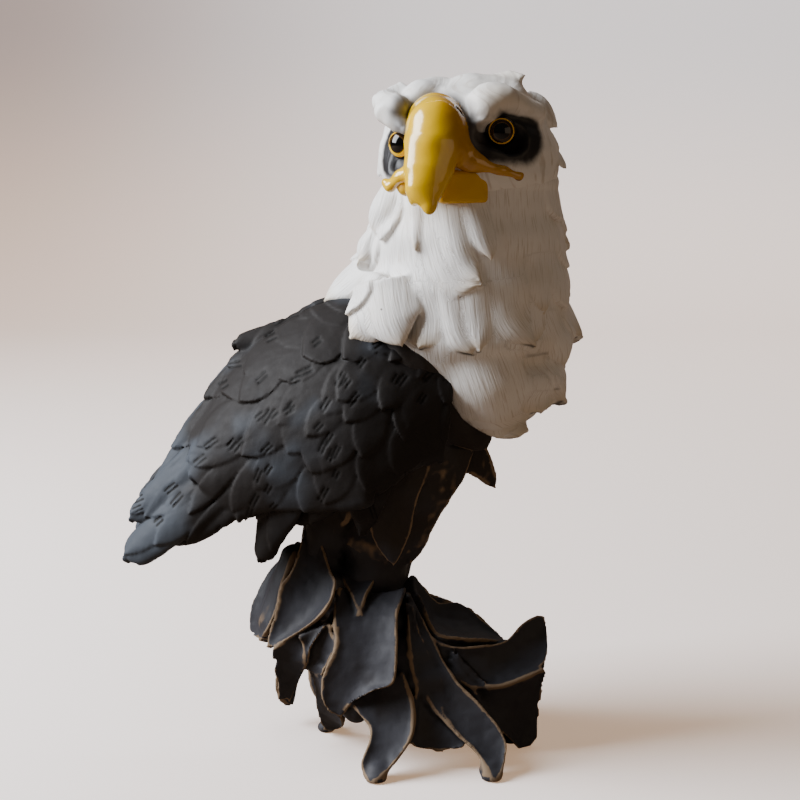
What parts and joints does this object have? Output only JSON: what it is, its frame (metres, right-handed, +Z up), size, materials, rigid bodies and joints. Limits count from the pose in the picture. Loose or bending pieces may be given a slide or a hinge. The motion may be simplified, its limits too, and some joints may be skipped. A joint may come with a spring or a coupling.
{
  "type": "cold-painted cast metal eagle statuette",
  "caption": "Cold-painted cast metal eagle: dark folded wings, white head and collar, hooked yellow beak, on a base of curled leaves.",
  "frame": {"origin": "middle of the statue's overall box, on the surface that it stands on", "axes": "+Z up; +X along the bird's body towards its chest; -Y the way its face looks, so its right wing is on the -Y side"},
  "size_m": [0.2933, 0.1804, 0.4345],
  "materials": {
    "dark_bronze": "waxed dark patina, semi-gloss, rubbed brown on the rims",
    "white_paint": "satin off-white paint with a warm wash in the feather tips",
    "yellow_enamel": "gloss yellow enamel shaded amber",
    "yellow_paint": "matt yellow paint",
    "eye_glass": "gloss dark glass, painted behind",
    "steel": "plain steel",
    "felt": "thin black felt"
  },
  "bodies": {
    "root": {"foot_pads": "felt", "base_casting": "dark_bronze", "base_bridge": "steel", "base_dowels": "steel", "tie_rod": "steel", "tie_rod_washers": "steel", "tie_rod_nuts": "steel", "torso_casting": "dark_bronze", "right_wing_casting": "dark_bronze", "left_wing_casting": "dark_bronze", "wing_dowels": "steel", "tail_casting": "dark_bronze", "tail_dowels": "steel", "neck_casting": "white_paint", "neck_screws": "steel", "head_casting": "white_paint", "head_screws": "steel", "upper_beak": "yellow_enamel", "beak_dowel": "steel", "lower_beak": "yellow_paint", "jaw_dowel": "steel", "right_eye": "eye_glass", "left_eye": "eye_glass"}
  },
  "joints": []
}
